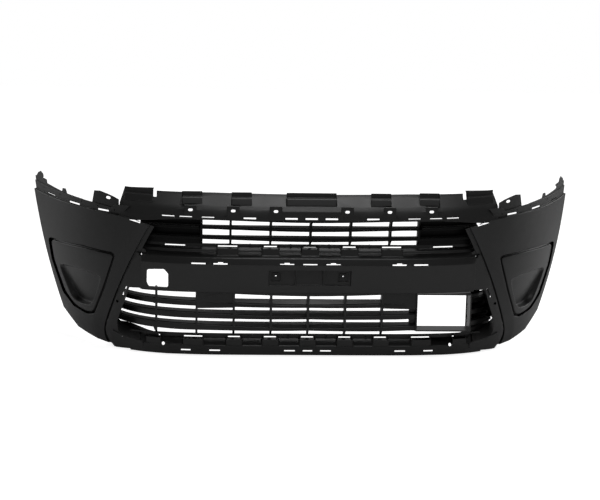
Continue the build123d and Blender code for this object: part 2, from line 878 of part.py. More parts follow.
def make_plate_nut(side):
    x = side * plate_pitch / 2
    seat = pocket_floor_y + nut_recess_depth
    flange = block(x, seat - 1.5, plate_z, nut_flange, 3, nut_flange)
    body = block(x, seat + 7, plate_z, nut_hole - 2 * seat_gap, 14, nut_hole - 2 * seat_gap)
    bore = Pos(x, seat + 20, plate_z) * Rot(90, 0, 0) * extrude(Circle(nut_bore / 2), 40)
    return flange + body - bore


# The origin lies midway between the two inner mounting slots, on the face of their bosses
def place_origin(shape):
    return Pos(0, -boss_face_y(mount_rows[0]), -header_hole_z) * shape


def save(name, solids):
    moved = [place_origin(solid) for solid in solids]
    whole = moved[0] if len(moved) == 1 else Compound(children=moved)
    export_step(whole, "parts/" + name + ".step")


def save_pair(name, solids):
    save(name + "_right", solids)
    save(name + "_left", [mirror(solid, about=Plane.YZ) for solid in solids])


os.makedirs("parts", exist_ok=True)
save("bumper_cover", [make_bumper_cover()])
save("centre_panel", [make_centre_panel()])
save("upper_grille", [make_upper_grille()])
save("lower_grille", [make_lower_grille()])
save_pair("fog_blank", [make_fog_blank()])
save_pair("headlamp_bracket", [make_bracket()])
save_pair("wing_retainer", [make_retainer()])
save("plate_nut_left", [make_plate_nut(-1)])
save("plate_nut_right", [make_plate_nut(1)])
seat_back = fog_depth + 2 * thin_wall + 2 * seat_gap
lap_back = fold + wall + lap_gap + lap_wall + seat_gap
bracket_back = step_depth + wall + seat_gap + thin_wall
save_pair("fog_blank_clips", clip_band(seat_back, fog_clip_rows))
save_pair("seam_clips", clip_band(lap_back, [(seam_x(z) - lap_width / 2, z) for z in seam_clip_rows]))
save_pair("bracket_screws", [screw(x, z, bracket_back) for x, z in bracket_screws])
save_pair("retainer_screws", [screw(x, z, bracket_back) for x, z in retainer_screws])
save("upper_grille_screws", rear_screws(ledge_y, ledge_z + screw_height))
save("lower_grille_screws", rear_screws(lip_ledge_y, lip_ledge_z + screw_height))
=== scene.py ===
from math import cos, hypot, pi, sin

import bmesh
import bpy
from mathutils import Matrix, Vector


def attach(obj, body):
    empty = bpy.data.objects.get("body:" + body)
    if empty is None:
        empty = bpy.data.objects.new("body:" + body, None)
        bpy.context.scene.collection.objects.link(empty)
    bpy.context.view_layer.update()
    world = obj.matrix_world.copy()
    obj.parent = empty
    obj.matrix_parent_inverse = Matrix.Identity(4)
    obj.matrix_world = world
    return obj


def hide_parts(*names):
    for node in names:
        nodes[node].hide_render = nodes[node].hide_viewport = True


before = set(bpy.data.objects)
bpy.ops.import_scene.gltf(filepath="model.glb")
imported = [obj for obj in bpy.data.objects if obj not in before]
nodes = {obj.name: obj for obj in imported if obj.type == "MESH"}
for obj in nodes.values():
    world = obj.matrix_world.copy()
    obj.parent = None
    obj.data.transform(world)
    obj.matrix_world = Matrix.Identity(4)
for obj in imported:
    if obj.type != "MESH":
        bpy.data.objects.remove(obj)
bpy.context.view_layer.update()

scene = bpy.context.scene
scene.view_settings.view_transform = "Standard"
millimetre = 0.001
crease = Vector((0, 17.887, -172.5))  # middle of the crease of the middle bar, in the frame's millimetres
white = (1, 1, 1, 1)
print("frame loaded:", len(nodes), "nodes")


# Colours are written as sRGB hex and turned to linear here
def hexColour(text):
    parts = [int(text[i:i + 2], 16) / 255 for i in (1, 3, 5)]
    return [p / 12.92 if p <= 0.04045 else ((p + 0.055) / 1.055) ** 2.4 for p in parts] + [1.0]


# Adds one node with its settings and the links or values of its inputs.
# An input is given by its name, with _ for a space, or as _ and its number.
# A node that is given as a value stands for its own first output.
def addNode(tree, kind, settings=None, **inputs):
    node = tree.nodes.new(kind)
    for name, value in (settings or {}).items():
        setattr(node, name, value)
    for name, value in inputs.items():
        socket = node.inputs[int(name[1:])] if name[1:].isdigit() else node.inputs[name.replace("_", " ")]
        if isinstance(value, bpy.types.Node):
            value = value.outputs[0]
        if isinstance(value, bpy.types.NodeSocket):
            tree.links.new(value, socket)
        else:
            socket.default_value = value
    return node


def newMaterial(name):
    material = bpy.data.materials.new(name)
    material.use_nodes = True
    material.node_tree.nodes.clear()
    return material, material.node_tree


# A plain mesh of what a mesh becomes under its modifiers.
# A setting named Socket_ and a number is an input of a Geometry Nodes tree.
def finishedMesh(mesh, modifiers):
    draft = bpy.data.objects.new("draft", mesh)
    scene.collection.objects.link(draft)
    for kind, settings in modifiers.items():
        modifier = draft.modifiers.new(kind.lower(), kind)
        for name, value in settings.items():
            if name.startswith("Socket_"):
                modifier[name] = value
            else:
                setattr(modifier, name, value)
    bpy.context.view_layer.update()
    result = bpy.data.meshes.new_from_object(draft.evaluated_get(bpy.context.evaluated_depsgraph_get()))
    bpy.data.objects.remove(draft)
    return result


# A sheet of even thickness, given in millimetres, behind the faces that are named
def sheetMesh(name, spots, faces, thickness, modifiers=None):
    mesh = bpy.data.meshes.new(name)
    mesh.from_pydata(spots, [], faces)
    solid = {"SOLIDIFY": {"thickness": thickness * millimetre, "offset": -1}}
    return finishedMesh(mesh, {**solid, **(modifiers or {})})


# A finished piece: it rides on the body, and stands for the CAD nodes that are named
def addPiece(name, mesh, material, slotName, *replaced):
    piece = bpy.data.objects.new(name, mesh)
    scene.collection.objects.link(piece)
    mesh.materials.clear()
    mesh.materials.append(material)
    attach(piece, "root")
    if replaced:
        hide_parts(*replaced)


# A piece's name from the name of its CAD node
def camelName(name):
    first, *others = name.title().split("_")
    return first.lower() + "".join(others)


cameraSetup = {
    "place": (-0.346955, -5.412933, 1.03129),
    "right": (0.99837663, -0.05353145, 0.0194547),
    "forward": (0.05640828, 0.97659018, -0.20758065),
    "focalPixels": 1800,  # of an image as wide as imageWidth
    "imageWidth": 600,
    "sensor": 36,
    "sight": 100,
}


def makeCamera(setup):
    data = bpy.data.cameras.new("frontCamera")
    data.sensor_width = setup["sensor"]
    data.lens = setup["focalPixels"] / setup["imageWidth"] * setup["sensor"]
    data.clip_end = setup["sight"]
    camera = bpy.data.objects.new("frontCamera", data)
    right = Vector(setup["right"]).normalized()
    back = -Vector(setup["forward"]).normalized()
    turn = Matrix((right, back.cross(right), back)).transposed().to_4x4()
    camera.matrix_world = Matrix.Translation(setup["place"]) @ turn
    scene.collection.objects.link(camera)
    scene.camera = camera


makeCamera(cameraSetup)
print("camera placed")

studio = {
    "floorHeight": -0.4775,
    "floorSize": 14,
    "floorColour": "#d8d8d8",
    "floorGlow": (0.82, 1.0),  # near and far: brings the lit floor up to white for the camera
    "glowReach": (1.2, 4.0),  # metres from the middle over which the glow rises, past the shadow
    "fill": 0.06,  # strength of the pale room that lights the object
    "mirrored": 0.1,  # share of the white backdrop that the plastic mirrors
    "lamps": [  # name, place, target, size, power
        ("keyLamp", (0.7, -2.4, 3.4), (0, 0, 0), 2.4, 26),
        ("topLamp", (0.2, 0.3, 2.6), (0, 0.05, 0), 1.6, 40),
        ("browLamp", (-0.05, -1.1, 1.3), (-0.05, 0.02, 0), 0.45, 3.5),
        ("leftRimLamp", (-2.6, 1.5, 0.6), (-0.7, 0.3, -0.1), 1.4, 10),
        ("rightRimLamp", (2.6, 1.5, 0.6), (0.7, 0.3, -0.1), 1.4, 14),
        ("backLamp", (0.5, 3.4, 0.5), (0, 0.2, -0.2), 2.0, 5),
    ],
}


# How much of the white backdrop a ray sees: the camera all of it, and a shiny or clear surface a share
def sightShare(tree, setup):
    ray = addNode(tree, "ShaderNodeLightPath").outputs
    mirror, clear = ray["Is Glossy Ray"], ray["Is Transmission Ray"]
    either = addNode(tree, "ShaderNodeMath", {"operation": "MAXIMUM"}, _0=mirror, _1=clear)
    share = addNode(tree, "ShaderNodeMath", {"operation": "MULTIPLY"}, _0=either, _1=setup["mirrored"])
    return addNode(tree, "ShaderNodeMath", {"operation": "MAXIMUM"}, _0=ray["Is Camera Ray"], _1=share)


def makeLamps(setup):
    for name, place, target, size, power in setup["lamps"]:
        data = bpy.data.lights.new(name, "AREA")
        data.size = size
        data.energy = power
        lamp = bpy.data.objects.new(name, data)
        lamp.location = place
        lamp.rotation_euler = (Vector(target) - lamp.location).to_track_quat("-Z", "Y").to_euler()
        scene.collection.objects.link(lamp)


def makeRoom(setup):
    world = bpy.data.worlds.new("paleRoom")
    scene.world = world
    world.use_nodes = True
    tree = world.node_tree
    tree.nodes.clear()
    fill = addNode(tree, "ShaderNodeBackground", Color=white, Strength=setup["fill"])
    backdrop = addNode(tree, "ShaderNodeBackground", Color=white, Strength=1.0)
    seen = addNode(tree, "ShaderNodeMixShader", _0=sightShare(tree, setup), _1=fill, _2=backdrop)
    addNode(tree, "ShaderNodeOutputWorld", Surface=seen)


def makeFloor(setup):
    mesh = bpy.data.meshes.new("floor")
    half = setup["floorSize"] / 2
    corners = ((-half, -half), (half, -half), (half, half), (-half, half))
    mesh.from_pydata([(x, y, setup["floorHeight"]) for x, y in corners], [], [(0, 1, 2, 3)])
    floor = bpy.data.objects.new("floor", mesh)
    scene.collection.objects.link(floor)
    material, tree = newMaterial("whiteBoard")
    paint = addNode(tree, "ShaderNodeBsdfDiffuse", Color=hexColour(setup["floorColour"]))
    place = addNode(tree, "ShaderNodeTexCoord").outputs["Object"]
    away = addNode(tree, "ShaderNodeVectorMath", {"operation": "LENGTH"}, _0=place).outputs["Value"]
    near, far = setup["glowReach"]
    least, most = setup["floorGlow"]
    strength = addNode(tree, "ShaderNodeMapRange", Value=away, _1=near, _2=far, _3=least, _4=most)
    glow = addNode(tree, "ShaderNodeEmission", Color=white, Strength=strength)
    bright = addNode(tree, "ShaderNodeAddShader", _0=paint, _1=glow)
    seen = addNode(tree, "ShaderNodeMixShader", _0=sightShare(tree, setup), _1=paint, _2=bright)
    addNode(tree, "ShaderNodeOutputMaterial", Surface=seen)
    mesh.materials.append(material)


makeLamps(studio)
makeRoom(studio)
makeFloor(studio)
print("studio lit")

# Sizes are in millimetres. Wander is how far the tone drifts over the flow, and the painted shade's reach
# is how far from a seam or an inner corner the colour is darkened as painted shade. The edge colour is
# a painted highlight along the edges. The real grain is about 0.3 mm, and is drawn coarser to show.
plastics = {
    # Unpainted polypropylene from a grained tool: dark, even, with a soft broad sheen
    "grainedPolypropylene": {
        "colour": "#191919", "edgeColour": "#262626", "roughness": 0.44, "grain": 1.6, "depth": 0.05,
        "flow": 240, "wander": 0.12, "edgeRadius": 2.0, "hollow": 14, "ior": 1.49,
    },
    # The same plastic from a smoother tool, a little glossier on ledges and folds
    "satinPolypropylene": {
        "colour": "#161616", "edgeColour": "#262626", "roughness": 0.38, "grain": 1.4, "depth": 0.03,
        "flow": 200, "wander": 0.12, "edgeRadius": 2.0, "hollow": 14, "ior": 1.49,
    },
    # Matt ABS of the upper slats and the baffle: black, and painted darker still as painted shade in the
    # openings
    "mattAbs": {
        "colour": "#060606", "edgeColour": "#1a1a1a", "roughness": 0.5, "grain": 1.2, "depth": 0.03,
        "flow": 120, "wander": 0.1, "edgeRadius": 1.2, "hollow": 20, "ior": 1.3,
    },
    # Glass-filled nylon of brackets and retainers: greyer, with a fine fibrous bloom
    "glassFilledNylon": {
        "colour": "#131313", "edgeColour": "#222222", "roughness": 0.5, "grain": 0.9, "depth": 0.04,
        "flow": 60, "wander": 0.2, "edgeRadius": 1.2, "hollow": 8, "ior": 1.49,
    },
}
mouldedSurface = {
    "toneSpan": (0.3, 0.7),  # the part of the noise over which the tone goes from deep to pale
    "edgeTurn": (0.995, 0.85),  # cosines of the turn where the painted edge highlight starts and where it is full
    "openness": (0.3, 0.95),  # open sky at which the painted shade is full and where it ends
    "seamShare": 0.12,  # share of its colour that a closed seam keeps under the painted shade
    "roughSpread": (-0.06, 0.06),
    "grainNoise": (3.0, 0.6),  # detail and roughness
    "flowNoise": (5.0, 0.5),
    "bump": 0.5,
    "edgeSamples": 4,
    "shadeSamples": 6,
}


def mouldedPlastic(name, look, setup):
    material, tree = newMaterial(name)
    place = addNode(tree, "ShaderNodeTexCoord").outputs["Object"]
    noises = {}
    for label in ("grain", "flow"):
        scale = 1 / (look[label] * millimetre)
        detail, roughness = setup[label + "Noise"]
        noises[label] = addNode(
            tree, "ShaderNodeTexNoise", Vector=place, Scale=scale, Detail=detail, Roughness=roughness,
        ).outputs["Fac"]
    grain = noises["grain"]
    tone = addNode(tree, "ShaderNodeValToRGB", Fac=noises["flow"])
    shares = (1 - look["wander"], 1 + look["wander"])
    for stop, position, share in zip(tone.color_ramp.elements, setup["toneSpan"], shares):
        stop.color = [part * share for part in hexColour(look["colour"])[:3]] + [1]
        stop.position = position
    # An edge is where the surface turns away within the edge radius. There the colour is lightened as a
    # painted highlight.
    radius = look["edgeRadius"] * millimetre
    turned = addNode(tree, "ShaderNodeBevel", {"samples": setup["edgeSamples"]}, Radius=radius)
    level = addNode(tree, "ShaderNodeNewGeometry").outputs["Normal"]
    meet = addNode(tree, "ShaderNodeVectorMath", {"operation": "DOT_PRODUCT"}, _0=turned, _1=level)
    start, full = setup["edgeTurn"]
    edge = addNode(
        tree, "ShaderNodeMapRange", Value=meet.outputs["Value"], _1=start, _2=full, _3=0.0, _4=1.0,
    )
    edgeColour = hexColour(look["edgeColour"])
    colour = addNode(tree, "ShaderNodeMix", {"data_type": "RGBA"}, _0=edge, _6=tone, _7=edgeColour)
    # Painted shade: seams and inner corners, where little open sky is near, lose most of their colour
    hollow = look["hollow"] * millimetre
    openness = addNode(
        tree, "ShaderNodeAmbientOcclusion", {"samples": setup["shadeSamples"]}, Distance=hollow,
    )
    closed, opened = setup["openness"]
    shade = addNode(
        tree, "ShaderNodeMapRange",
        Value=openness.outputs["AO"], _1=closed, _2=opened, _3=setup["seamShare"], _4=1.0,
    )
    shaded = addNode(tree, "ShaderNodeVectorMath", {"operation": "SCALE"}, _0=colour.outputs[2], Scale=shade)
    least, most = (look["roughness"] + spread for spread in setup["roughSpread"])
    rough = addNode(tree, "ShaderNodeMapRange", Value=grain, _3=least, _4=most)
    depth = look["depth"] * millimetre
    bump = addNode(tree, "ShaderNodeBump", Height=grain, Strength=setup["bump"], Distance=depth)
    shader = addNode(
        tree, "ShaderNodeBsdfPrincipled", Base_Color=shaded, Roughness=rough, Normal=bump, IOR=look["ior"],
    )
    addNode(tree, "ShaderNodeOutputMaterial", Surface=shader)
    return material


# Crystals are in millimetres, and are drawn coarser than the real ones to show
metals = {
    # Phosphated spring steel: dark grey with a dull crystalline mottle
    "phosphatedSpringSteel": {"colour": "#3a3b3d", "tint": "#55565a", "roughness": 0.42, "crystal": 1.2},
    # Zinc plated steel, black passivated: dark, with a faint metallic shine
    "blackZincSteel": {"colour": "#2a2a2c", "tint": "#3c3c40", "roughness": 0.32, "crystal": 0.9},
}
platedSurface = {
    "roughSpread": (-0.08, 0.1),
    "bump": 0.3,
    "depth": 0.02,
}


def platedSteel(name, look, setup):
    material, tree = newMaterial(name)
    place = addNode(tree, "ShaderNodeTexCoord").outputs["Object"]
    scale = 1 / (look["crystal"] * millimetre)
    mottle = addNode(
        tree, "ShaderNodeTexVoronoi", {"feature": "SMOOTH_F1"}, Vector=place, Scale=scale,
    ).outputs["Distance"]
    colour, tint = hexColour(look["colour"]), hexColour(look["tint"])
    tone = addNode(tree, "ShaderNodeMix", {"data_type": "RGBA"}, _0=mottle, _6=colour, _7=tint)
    least, most = (look["roughness"] + spread for spread in setup["roughSpread"])
    rough = addNode(tree, "ShaderNodeMapRange", Value=mottle, _3=least, _4=most)
    depth = setup["depth"] * millimetre
    bump = addNode(tree, "ShaderNodeBump", Height=mottle, Strength=setup["bump"], Distance=depth)
    shader = addNode(
        tree, "ShaderNodeBsdfPrincipled",
        Base_Color=tone.outputs[2], Roughness=rough, Normal=bump, Metallic=1.0,
    )
    addNode(tree, "ShaderNodeOutputMaterial", Surface=shader)
    return material


finishes = {name: mouldedPlastic(name, look, mouldedSurface) for name, look in plastics.items()}
finishes.update({name: platedSteel(name, look, platedSurface) for name, look in metals.items()})
print("finishes made:", len(finishes))

# Moulded pieces whose edges are rounded: radius in millimetres, finish and material slot
mouldings = {
    "bumper_cover": (0.9, "grainedPolypropylene", "cover_plastic"),
    "centre_panel": (0.9, "satinPolypropylene", "panel_plastic"),
    "upper_grille": (0.7, "mattAbs", "grille_plastic"),
    "lower_grille": (0.7, "satinPolypropylene", "grille_plastic"),
    "headlamp_bracket_left": (0.6, "glassFilledNylon", "bracket_plastic"),
    "headlamp_bracket_right": (0.6, "glassFilledNylon", "bracket_plastic"),
    "wing_retainer_left": (0.6, "glassFilledNylon", "bracket_plastic"),
    "wing_retainer_right": (0.6, "glassFilledNylon", "bracket_plastic"),
    "plate_nut_left": (0.5, "glassFilledNylon", "nut_plastic"),
    "plate_nut_right": (0.5, "glassFilledNylon", "nut_plastic"),
}
rounding = {
    "weld": 0.02,  # millimetres within which corners are one
    "flatness": 0.005,  # radians below which neighbouring faces are one
    "sharpAngle": 0.5,  # radians above which an edge is rounded
    "segments": 3,
    "foldRadius": 2.6,  # millimetres, on a long edge where both faces are wide
    "wideFace": 5.5,
    "longEdge": 15,
    "folded": ("bumper_cover", "centre_panel"),
}


# The smooth curve through the sizes at the given heights
def smoothCurve(heights, sizes, z):
    total = 0
    for own, size in zip(heights, sizes):
        for height in heights:
            if height != own:
                size *= (z - height) / (own - height)
        total += size
    return total


# Slats of the lower grille, in millimetres from the crease.
# Towards the wings each nose hangs lower and the rear edge with it.
lowerSlats = {
    "front": 60,
    "wrap": 95,  # how far they run back at the reach of the wrap
    "wrapReach": 562,
    "wrapPower": 6,
    "noses": (-150, -187, -224),
    "lift": 12,  # how far a slat rises from the middle out to the reach of the lift
    "liftReach": 468,
    "depth": 35,
    "margin": 0.06,  # share of the depth that is taken in before and behind
    "height": 25,
    "noseDrop": (7.5, 10.5, 12),
    "noseReach": 400,
    "noseTop": 4,
    "rightLimit": 7.5,  # the sensor frame on the right ends here
    "under": -6.5,  # takes in the foot of the blanks, which hangs a little lower still
    "footBelow": -1.5,
    "footDrop": 1.2,
    "rearDrop": (3.5, 4, 4.5),
    "rearReach": 300,
}


def slatWrap(x):
    return lowerSlats["wrap"] * (x / lowerSlats["wrapReach"]) ** lowerSlats["wrapPower"]


def hangSlats(work, setup):
    for vert in work.verts:
        x, y, z = vert.co / millimetre - crease
        x = abs(x)
        along = (y - setup["front"] - slatWrap(x)) / setup["depth"]
        if not -setup["margin"] < along < 1 + setup["margin"]:
            continue
        lift = setup["lift"] * (1 - cos(pi * min(1, x / setup["liftReach"]))) / 2
        for nose, noseDrop, rearDrop in zip(setup["noses"], setup["noseDrop"], setup["rearDrop"]):
            above = z - nose - lift
            if setup["under"] < above < setup["noseTop"]:
                drop = noseDrop * min(1, x / setup["noseReach"])
                if vert.co.x > 0:
                    drop = min(drop, setup["rightLimit"])
                if above < setup["footBelow"]:
                    drop += setup["footDrop"]
                vert.co.z -= drop * millimetre
            elif setup["noseTop"] <= above < setup["height"]:
                drop = rearDrop * min(1, x / setup["rearReach"]) * min(1, max(0, along))
                vert.co.z -= drop * millimetre


# Side edge of the centre panel: its distance from the middle at three heights over the crease, in millimetres.
# Low down the edge tucks in. Below the top, it moves in to open the seam beside it.
panelEdge = {
    "heights": (-300, 0, 150),
    "reach": (659, 555, 477),
    "tuck": 40,
    "tuckTop": -246,
    "tuckPower": 1.5,
    "top": 30,
    "nearness": 1.2,  # how near the edge a corner must be to move with it
    "opening": 3.5,
}


def openSeam(work, setup):
    tuckRange = setup["tuckTop"] - setup["heights"][0]
    for vert in work.verts:
        x, y, z = vert.co / millimetre - crease
        if z > setup["top"]:
            continue
        low = max(0, (setup["tuckTop"] - z) / tuckRange) ** setup["tuckPower"]
        edge = smoothCurve(setup["heights"], setup["reach"], z) - setup["tuck"] * low
        if abs(abs(x) - edge) < setup["nearness"]:
            vert.co.x -= setup["opening"] * millimetre * (1 if x > 0 else -1)


# How much of the fold radius each sharp edge takes.
# A fold between two wide faces is rounder than the edge of a thin wall.
def weighEdges(work, name, radius):
    weight = work.edges.layers.float.new("bevel_weight_edge")
    for edge in work.edges:
        if len(edge.link_faces) == 2 and edge.calc_face_angle(0) > rounding["sharpAngle"]:
            width = min(2 * face.calc_area() / face.calc_perimeter() for face in edge.link_faces)
            wide = width > rounding["wideFace"] * millimetre
            long = edge.calc_length() > rounding["longEdge"] * millimetre
            isFold = name in rounding["folded"] and wide and long
            edge[weight] = 1 if isFold else radius / rounding["foldRadius"]


# A copy of a CAD mesh with its doubles merged, its flat faces whole and its sharp edges rounded
def roundedMesh(name, radius):
    mesh = nodes[name].data.copy()
    work = bmesh.new()
    work.from_mesh(mesh)
    weld = rounding["weld"] * millimetre
    bmesh.ops.remove_doubles(work, verts=work.verts, dist=weld)
    bmesh.ops.dissolve_degenerate(work, edges=work.edges, dist=weld)
    bmesh.ops.dissolve_limit(
        work, angle_limit=rounding["flatness"], verts=work.verts, edges=work.edges, delimit={"NORMAL"},
    )
    if name == "lower_grille":
        hangSlats(work, lowerSlats)
    if name == "centre_panel":
        openSeam(work, panelEdge)
    weighEdges(work, name, radius)
    work.to_mesh(mesh)
    work.free()
    mesh.shade_smooth()
    return finishedMesh(mesh, {
        "BEVEL": {
            "limit_method": "WEIGHT", "width": rounding["foldRadius"] * millimetre,
            "segments": rounding["segments"], "use_clamp_overlap": False,
        },
        "WEIGHTED_NORMAL": {"keep_sharp": True},
    })


for name, (radius, finish, slotName) in mouldings.items():
    addPiece(camelName(name) + "Moulding", roundedMesh(name, radius), finishes[finish], slotName, name)
print("mouldings rounded:", len(mouldings))

# Outer form of the cover, in millimetres from the crease. Each row gives a size at the three heights.
wingForm = {
    "heights": (-300, 0, 150),
    "halfWidth": (763, 861, 896),
    "reach": (367, 448, 522),
    "fullness": (5.3, 4.5, 4.1),
    "front": (50, 4, -30),
}
settlingSteps = 6


def formAt(row, z):
    return smoothCurve(wingForm["heights"], wingForm[row], z)


def wingDepth(x, z):
    share = (abs(x) / formAt("halfWidth", z)) ** formAt("fullness", z)
    front = formAt("front", z)
    return front + (formAt("reach", z) - front) * share


# How far the outer form runs back over one millimetre across
def wingSlope(x, z):
    return wingDepth(x + 0.5, z) - wingDepth(x - 0.5, z)


# A point at a depth under the outer form, square to it in plan, in the frame's metres
def wingPoint(x, z, depth):
    slope = wingSlope(x, z)
    length = hypot(1, slope)
    place = Vector((x - depth * slope / length, wingDepth(x, z) + depth / length, z))
    return (place + crease) * millimetre


# The place across on the outer form whose point at that depth lies straight behind x.
# Each step comes closer to it.
def straightBehind(x, z, depth):
    entry = x
    for _ in range(settlingSteps):
        slope = wingSlope(entry, z)
        entry = x + depth * slope / hypot(1, slope)
    return entry


# Fog blank: a nearly flush panel with a rolled rim and a scoop whose floor falls away downwards
fogBlank = {
    "panel": [
        (650, -106), (683, -196), (703, -207), (748, -198), (783, -165), (823, -66), (833, -2), (715, 10),
        (614, 8),
    ],
    "panelCorner": 14,
    "scoop": [
        (668, -112), (686, -165), (702, -181), (740, -183), (758, -170), (790, -105), (802, -74),
        (752, -64), (707, -65), (657, -72),
    ],
    "scoopCorner": 14,
    "flange": [
        (641, -106), (678, -203), (700.5, -213), (749.5, -203), (789, -167.5), (828, -66), (840.5, 5),
        (715, 18.5), (604, 15.5),
    ],
    "flangeCorner": 6,
    "hub": (727, -120),
    "spokes": 256,
    "rimDepth": 3.0,
    "rimRadius": 3.0,
    "rimSteps": 5,
    "panelRings": (0.2, 0.4, 0.6, 0.8, 1.0),  # shares of the way from the rim to the scoop's lip
    "skirtDepth": 9.6,
    "skirtCorner": 0.5,
    "lipRadius": 3.0,
    "wallRun": 5.0,
    "wallRings": (0.12, 0.3, 0.5, 0.7, 0.88, 1.0),  # shares of the way down the scoop's wall
    "floorRings": (0.85, 0.7, 0.55, 0.4, 0.25, 0.12),  # shares of the way from the hub to that wall
    "sinkAtTop": 4.0,
    "sinkAtFoot": 23.0,
    "sinkPower": 0.9,
    "thickness": 2.2,
    "finish": "satinPolypropylene",
}
cornerSteps = 8  # in each rounded corner of an outline
nearlyParallel = 1e-9
endSlack = 1e-6  # lets a spoke find the joint of two stretches


# An outline whose corners are rounded off by short curves
def roundedOutline(points, corner):
    points = [Vector(point) for point in points]
    line = []
    for i, point in enumerate(points):
        before = points[i - 1] - point
        after = points[(i + 1) % len(points)] - point
        start = point + before.normalized() * min(corner, before.length / 2)
        end = point + after.normalized() * min(corner, after.length / 2)
        for step in range(cornerSteps + 1):
            t = step / cornerSteps
            line.append(start * (1 - t) ** 2 + point * 2 * t * (1 - t) + end * t ** 2)
    return line


# Directions of the spokes round a hub
def spokeWays(count):
    angles = [2 * pi * k / count for k in range(count)]
    return [(cos(angle), sin(angle)) for angle in angles]


# Distance from the hub to one of the rounded outlines along each spoke
def spokeLengths(setup, label):
    line = roundedOutline(setup[label], setup[label + "Corner"])
    hub = Vector(setup["hub"])
    lengths = []
    for way in spokeWays(setup["spokes"]):
        ahead = Vector(way)
        for a, b in zip(line, line[1:] + line[:1]):
            run = b - a
            facing = ahead.cross(run)
            if abs(facing) < nearlyParallel:
                continue
            reach = (a - hub).cross(run) / facing
            along = (a - hub).cross(ahead) / facing
            if reach > 0 and -endSlack <= along <= 1 + endSlack:
                lengths.append(reach)
                break
    return lengths


# Faces between each ring of points and the next, the other way round on the left side
def ringFaces(rings, count, side):
    faces = []
    for r in range(rings - 1):
        for k in range(count):
            after = (k + 1) % count
            face = (r * count + k, r * count + after, (r + 1) * count + after, (r + 1) * count + k)
            faces.append(face[::side])
    return faces


# Rings from the flange in to the hub. Each has its reach on every spoke, its depth, and how much it takes
# of the sink of the scoop's floor.
def fogBlankRings(setup):
    panel, scoop, flange = (spokeLengths(setup, label) for label in ("panel", "scoop", "flange"))
    skirt, skirtCorner = setup["skirtDepth"], setup["skirtCorner"]
    rim, rimRadius, lip = setup["rimDepth"], setup["rimRadius"], setup["lipRadius"]
    rings = [
        (flange, skirt, 0),
        ([p + skirtCorner for p in panel], skirt, 0),
        (panel, skirt - skirtCorner, 0),
    ]
    for step in range(setup["rimSteps"] + 1):
        turn = pi / 2 * step / setup["rimSteps"]
        inset = rimRadius * (1 - cos(turn))
        rings.append(([p - inset for p in panel], rim + rimRadius * (1 - sin(turn)), 0))
    for share in setup["panelRings"]:
        reach = [(p - rimRadius) * (1 - share) + (s + lip) * share for p, s in zip(panel, scoop)]
        rings.append((reach, rim, 0))
    for share in setup["wallRings"]:
        inset = setup["wallRun"] * share - lip * (1 - share)
        rings.append(([s - inset for s in scoop], rim, share * share * (3 - 2 * share)))
    for share in setup["floorRings"]:
        rings.append(([(s - setup["wallRun"]) * share for s in scoop], rim, 1))
    return rings


def makeFogBlank(setup, side):
    rings = fogBlankRings(setup)
    hubX, hubZ = setup["hub"]
    top = max(z for x, z in setup["scoop"])
    foot = min(z for x, z in setup["scoop"])

    def place(x, z, depth, share):
        low = min(1, max(0, (top - z) / (top - foot))) ** setup["sinkPower"]
        sink = setup["sinkAtTop"] + (setup["sinkAtFoot"] - setup["sinkAtTop"]) * low
        spot = wingPoint(x, z, depth + share * sink)
        return (side * spot.x, spot.y, spot.z)

    spots = []
    for number, (reach, depth, share) in enumerate(rings):
        for length, (across, up) in zip(reach, spokeWays(setup["spokes"])):
            x = hubX + length * across
            z = hubZ + length * up
            # The flange fills the recess, whose walls run straight back
            if number == 0:
                x = straightBehind(x, z, depth)
            spots.append(place(x, z, depth, share))
    spots.append(place(hubX, hubZ, setup["rimDepth"], 1))
    count = setup["spokes"]
    faces = ringFaces(len(rings), count, side)
    last = (len(rings) - 1) * count
    faces += [(last + k, last + (k + 1) % count, len(spots) - 1)[::side] for k in range(count)]
    return sheetMesh("fogBlank", spots, faces, setup["thickness"])


for side, name in ((-1, "fog_blank_left"), (1, "fog_blank_right")):
    mesh = makeFogBlank(fogBlank, side)
    mesh.shade_smooth()
    addPiece(camelName(name), mesh, finishes[fogBlank["finish"]], "blank_plastic", name)
print("fog blanks made")

# Corner gusset: a plate with one eye that closes the gap between panel and wing.
# Its places are distances from the middle and heights, in millimetres from the crease.
cornerGusset = {
    "plate": [(515, 4), (514, 34), (526, 40), (545, 40), (550, 8), (534, -2)],
    "plateCorner": 6,
    "hub": (526.5, 19.5),
    "spokes": 64,
    "eyeRadius": 4.2,
    "rings": (0, 0.5, 1),  # shares of the way from the eye to the outline
    "depth": 15,
    "thickness": 2.4,
    "finish": "satinPolypropylene",
}


def makeGusset(setup, side):
    hubX, hubZ = setup["hub"]
    plate = spokeLengths(setup, "plate")
    spots = []
    for share in setup["rings"]:
        for length, (across, up) in zip(plate, spokeWays(setup["spokes"])):
            run = setup["eyeRadius"] * (1 - share) + length * share
            spot = wingPoint(hubX + run * across, hubZ + run * up, setup["depth"])
            spots.append((side * spot.x, spot.y, spot.z))
    faces = ringFaces(len(setup["rings"]), setup["spokes"], side)
    return sheetMesh("gusset", spots, faces, setup["thickness"])


# Strips that follow the wrap of the slats. Each has its top edge as distances from the middle and heights.
# Corner apron: it rises behind the lip where the lip turns up into the wing
cornerApron = {
    "topEdge": [
        (470, -244), (482, -240.5), (507, -236.7), (530, -231.4), (553, -226.9), (576, -226.3),
        (593, -229.1), (606, -232), (614, -236),
    ],
    "front": 68,
    "height": 26,
    "thickness": 2.4,
    "edgeRadius": 0.6,
    "finish": "satinPolypropylene",
}
# Sensor baffle: it backs the short slats beside the sensor
sensorBaffle = {
    "topEdge": [
        (514, -95), (530, -95), (546, -95), (560, -96), (562, -122), (576, -122), (590, -124), (606, -126),
    ],
    "front": 98,
    "height": 146,
    "thickness": 2.4,
    "edgeRadius": 0.6,
    "finish": "mattAbs",
}


